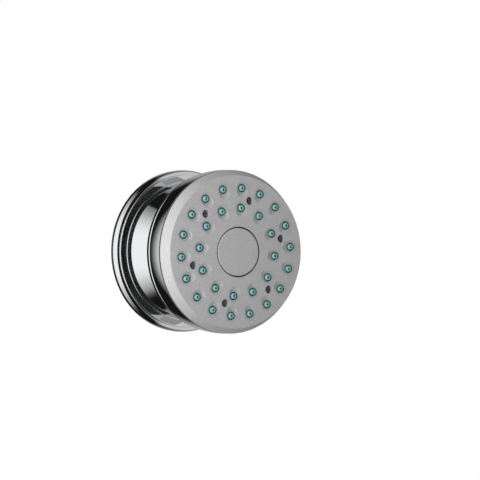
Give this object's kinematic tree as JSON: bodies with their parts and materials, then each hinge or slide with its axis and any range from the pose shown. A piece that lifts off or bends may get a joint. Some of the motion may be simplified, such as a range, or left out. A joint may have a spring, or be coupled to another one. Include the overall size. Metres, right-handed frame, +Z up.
{
  "type": "shower body jet",
  "caption": "Round wall-mounted shower body jet: round-edged chrome flange, conical neck, swivelling head, satin domed face with soft teal jets in dimples and a centre stop button.",
  "frame": {"origin": "centre of the wall plane, on the jet axis", "axes": "+Z up, -Y along the jets away from the wall, +X to the right for someone facing the jet"},
  "size_m": [0.0944, 0.0772, 0.0944],
  "materials": {
    "chrome_brass": "bright chrome plate on brass",
    "chrome_shell": "bright chrome plate on a moulded shell",
    "chrome_fitting": "chrome plate on turned brass",
    "brass": "turned brass",
    "satin_face": "satin metallic grey plate on a moulded face",
    "jet_silicone": "soft teal silicone",
    "white_acetal": "natural white acetal",
    "grey_acetal": "grey acetal",
    "seal_rubber": "black seal rubber",
    "gasket_foam": "closed-cell foam rubber",
    "steel": "stainless steel"
  },
  "bodies": {
    "wall_fitting": {"escutcheon": "chrome_brass", "wall_gasket": "gasket_foam", "inlet_nipple": "brass", "strainer": "white_acetal", "flow_limiter": "white_acetal", "limiter_oring": "seal_rubber", "sleeve_holder": "white_acetal", "sleeve_oring": "seal_rubber", "holder_nut": "brass", "stem_washer": "seal_rubber", "ball_stem": "chrome_fitting"},
    "rear_ring": {"rear_slip_ring": "white_acetal"},
    "front_ring": {"front_slip_ring": "white_acetal"},
    "head": {"union_nut": "chrome_fitting", "ball_seal": "seal_rubber", "head_cup": "chrome_shell", "valve_seat": "brass", "jet_carrier": "grey_acetal", "jet_mat": "jet_silicone", "face_plate": "satin_face", "face_oring": "seal_rubber", "face_screws": "steel", "stem_oring": "seal_rubber"},
    "button": {"stop_button": "satin_face", "valve_plunger": "grey_acetal", "plunger_washer": "seal_rubber", "button_spring": "steel"}
  },
  "joints": [
    {"name": "head_pan", "type": "hinge", "parent": "wall_fitting", "child": "rear_ring", "pos_m": [0, -0.03, 0], "axis": [0, 0, 1], "range_deg": [-8, 8]},
    {"name": "head_tilt", "type": "hinge", "parent": "rear_ring", "child": "front_ring", "pos_m": [0, -0.03, 0], "axis": [1, 0, 0], "range_deg": [-8, 8]},
    {"name": "head_turn", "type": "hinge", "parent": "front_ring", "child": "head", "pos_m": [0, -0.03, 0], "axis": [0, 1, 0], "continuous": true},
    {"name": "button_press", "type": "slide", "parent": "head", "child": "button", "axis": [0, 1, 0], "range_m": [0, 0.003], "stiffness_N_per_m": 1500, "springref_m": -0.002, "deforming": ["button_spring"]}
  ]
}
